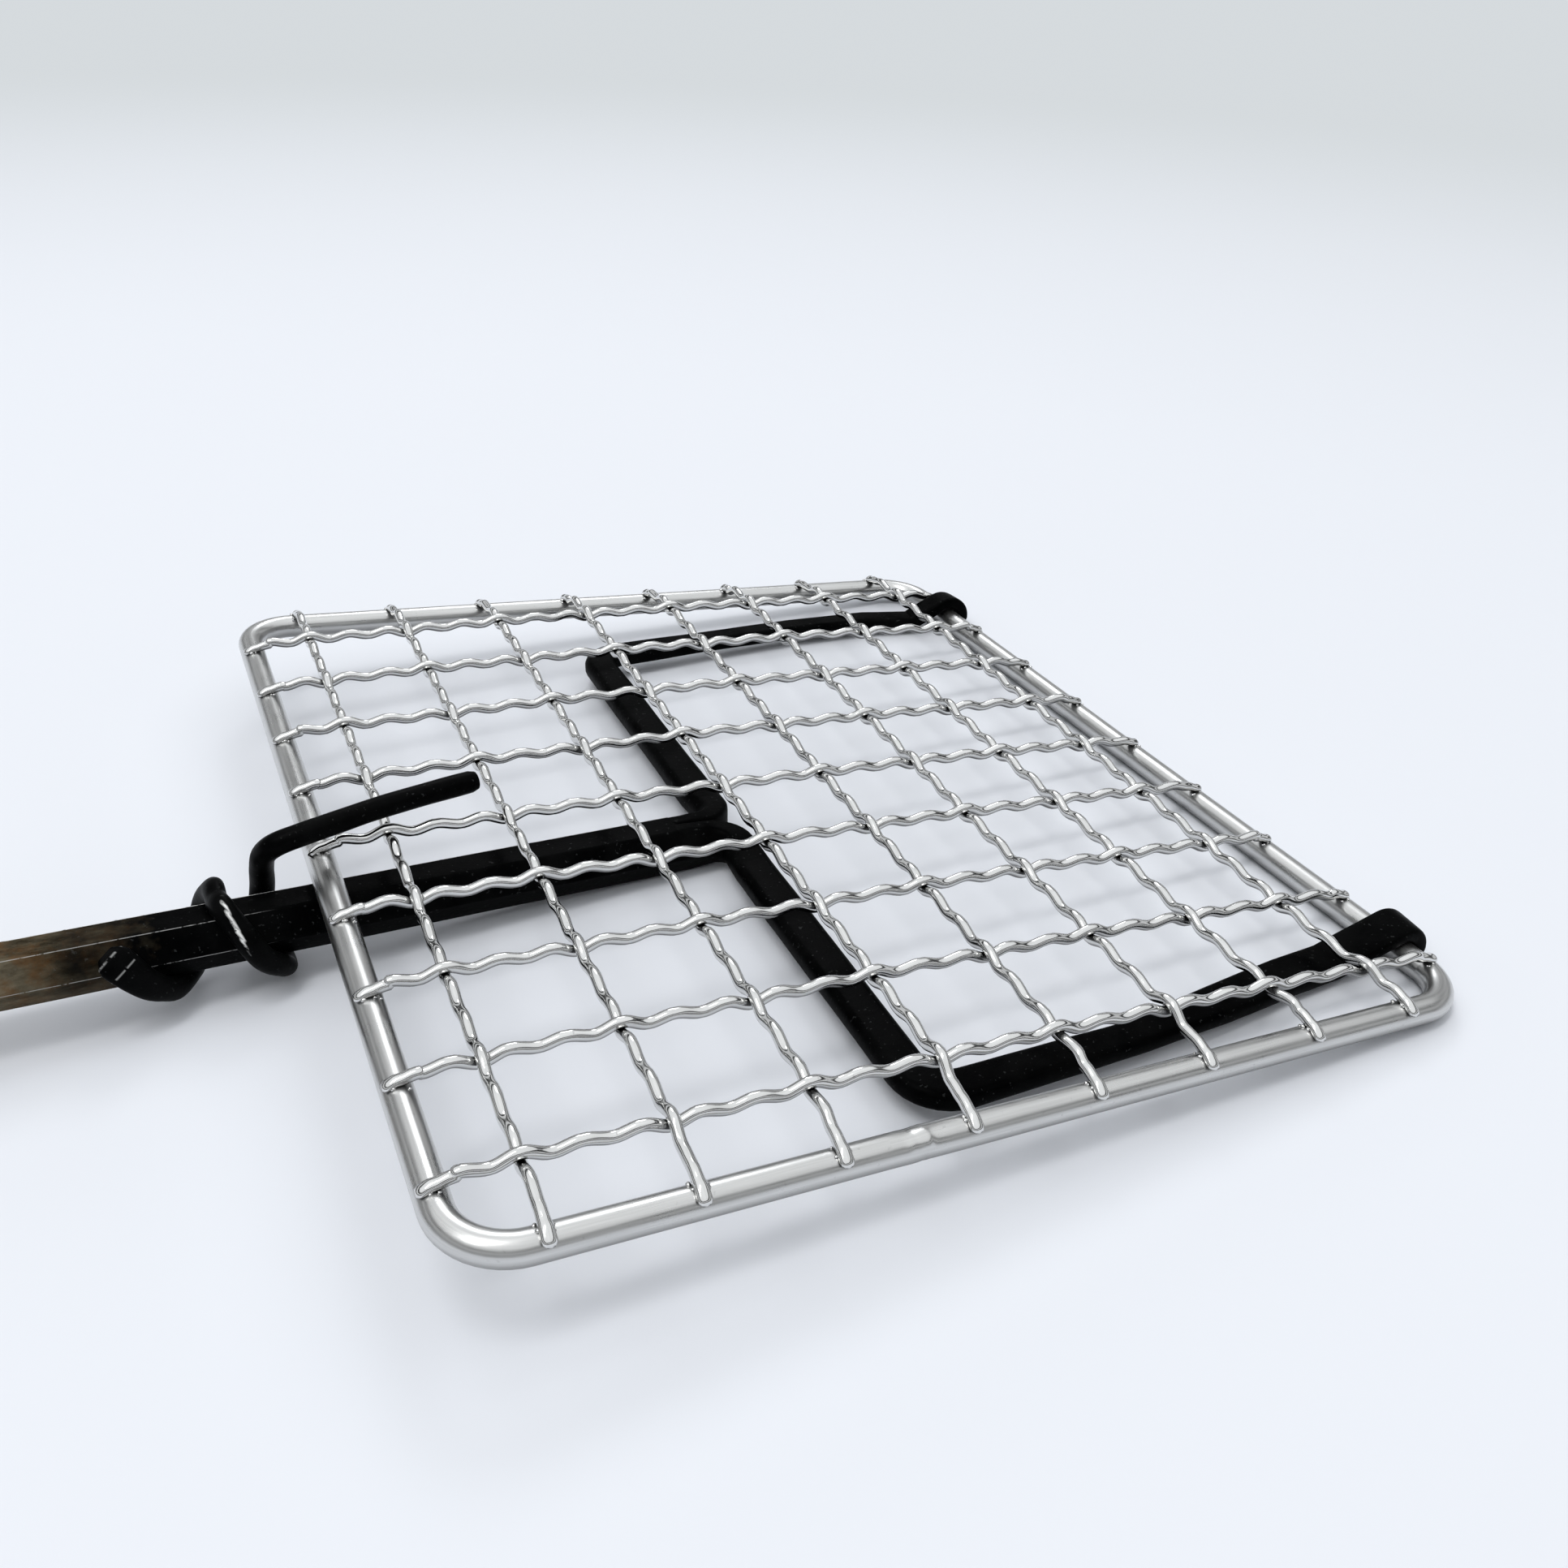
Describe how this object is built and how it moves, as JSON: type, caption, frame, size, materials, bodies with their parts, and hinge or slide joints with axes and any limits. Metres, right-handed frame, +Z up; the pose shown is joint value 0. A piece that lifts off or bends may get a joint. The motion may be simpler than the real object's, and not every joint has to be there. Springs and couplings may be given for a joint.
{
  "type": "campfire hand grill",
  "caption": "Square crimped-wire grate in a round rod frame, hooked on a two-tine fork forged from a hexagonal bar and held down by a sliding coiled keeper.",
  "frame": {"origin": "middle of the bounding box, at the floor plane the grill rests on", "axes": "+X from the handle towards the hooked tips, +Y to the left seen from the handle, +Z up; the grill stands as it rests, nose down about 5 degrees on the keeper's coil and the grate's far rod"},
  "size_m": [0.4998, 0.2114, 0.0344],
  "materials": {
    "forged": "hammer-forged black steel with oil-blackened scale",
    "satin_rod": "satin stainless rod",
    "bright_wire": "bright drawn stainless wire"
  },
  "bodies": {
    "fork": {"handle_bar": "forged", "left_tine": "forged", "right_tine": "forged"},
    "keeper": {"keeper": "forged"},
    "grate": {"grate_frame": "satin_rod", "wire_long_1": "bright_wire", "wire_long_2": "bright_wire", "wire_long_3": "bright_wire", "wire_long_4": "bright_wire", "wire_long_5": "bright_wire", "wire_long_6": "bright_wire", "wire_long_7": "bright_wire", "wire_long_8": "bright_wire", "wire_long_9": "bright_wire", "wire_cross_1": "bright_wire", "wire_cross_2": "bright_wire", "wire_cross_3": "bright_wire", "wire_cross_4": "bright_wire", "wire_cross_5": "bright_wire", "wire_cross_6": "bright_wire", "wire_cross_7": "bright_wire", "wire_cross_8": "bright_wire"}
  },
  "joints": [
    {"name": "keeper_slide", "type": "slide", "parent": "fork", "child": "keeper", "axis": [0.9961, 0.061, -0.0637], "range_m": [-0.24, 0.004]},
    {"name": "grate_rock", "type": "hinge", "parent": "fork", "child": "grate", "pos_m": [0.24127, -0.00304, 0.00284], "axis": [-0.0328, 0.9995, 0.0027], "range_deg": [0, 0.3]}
  ]
}
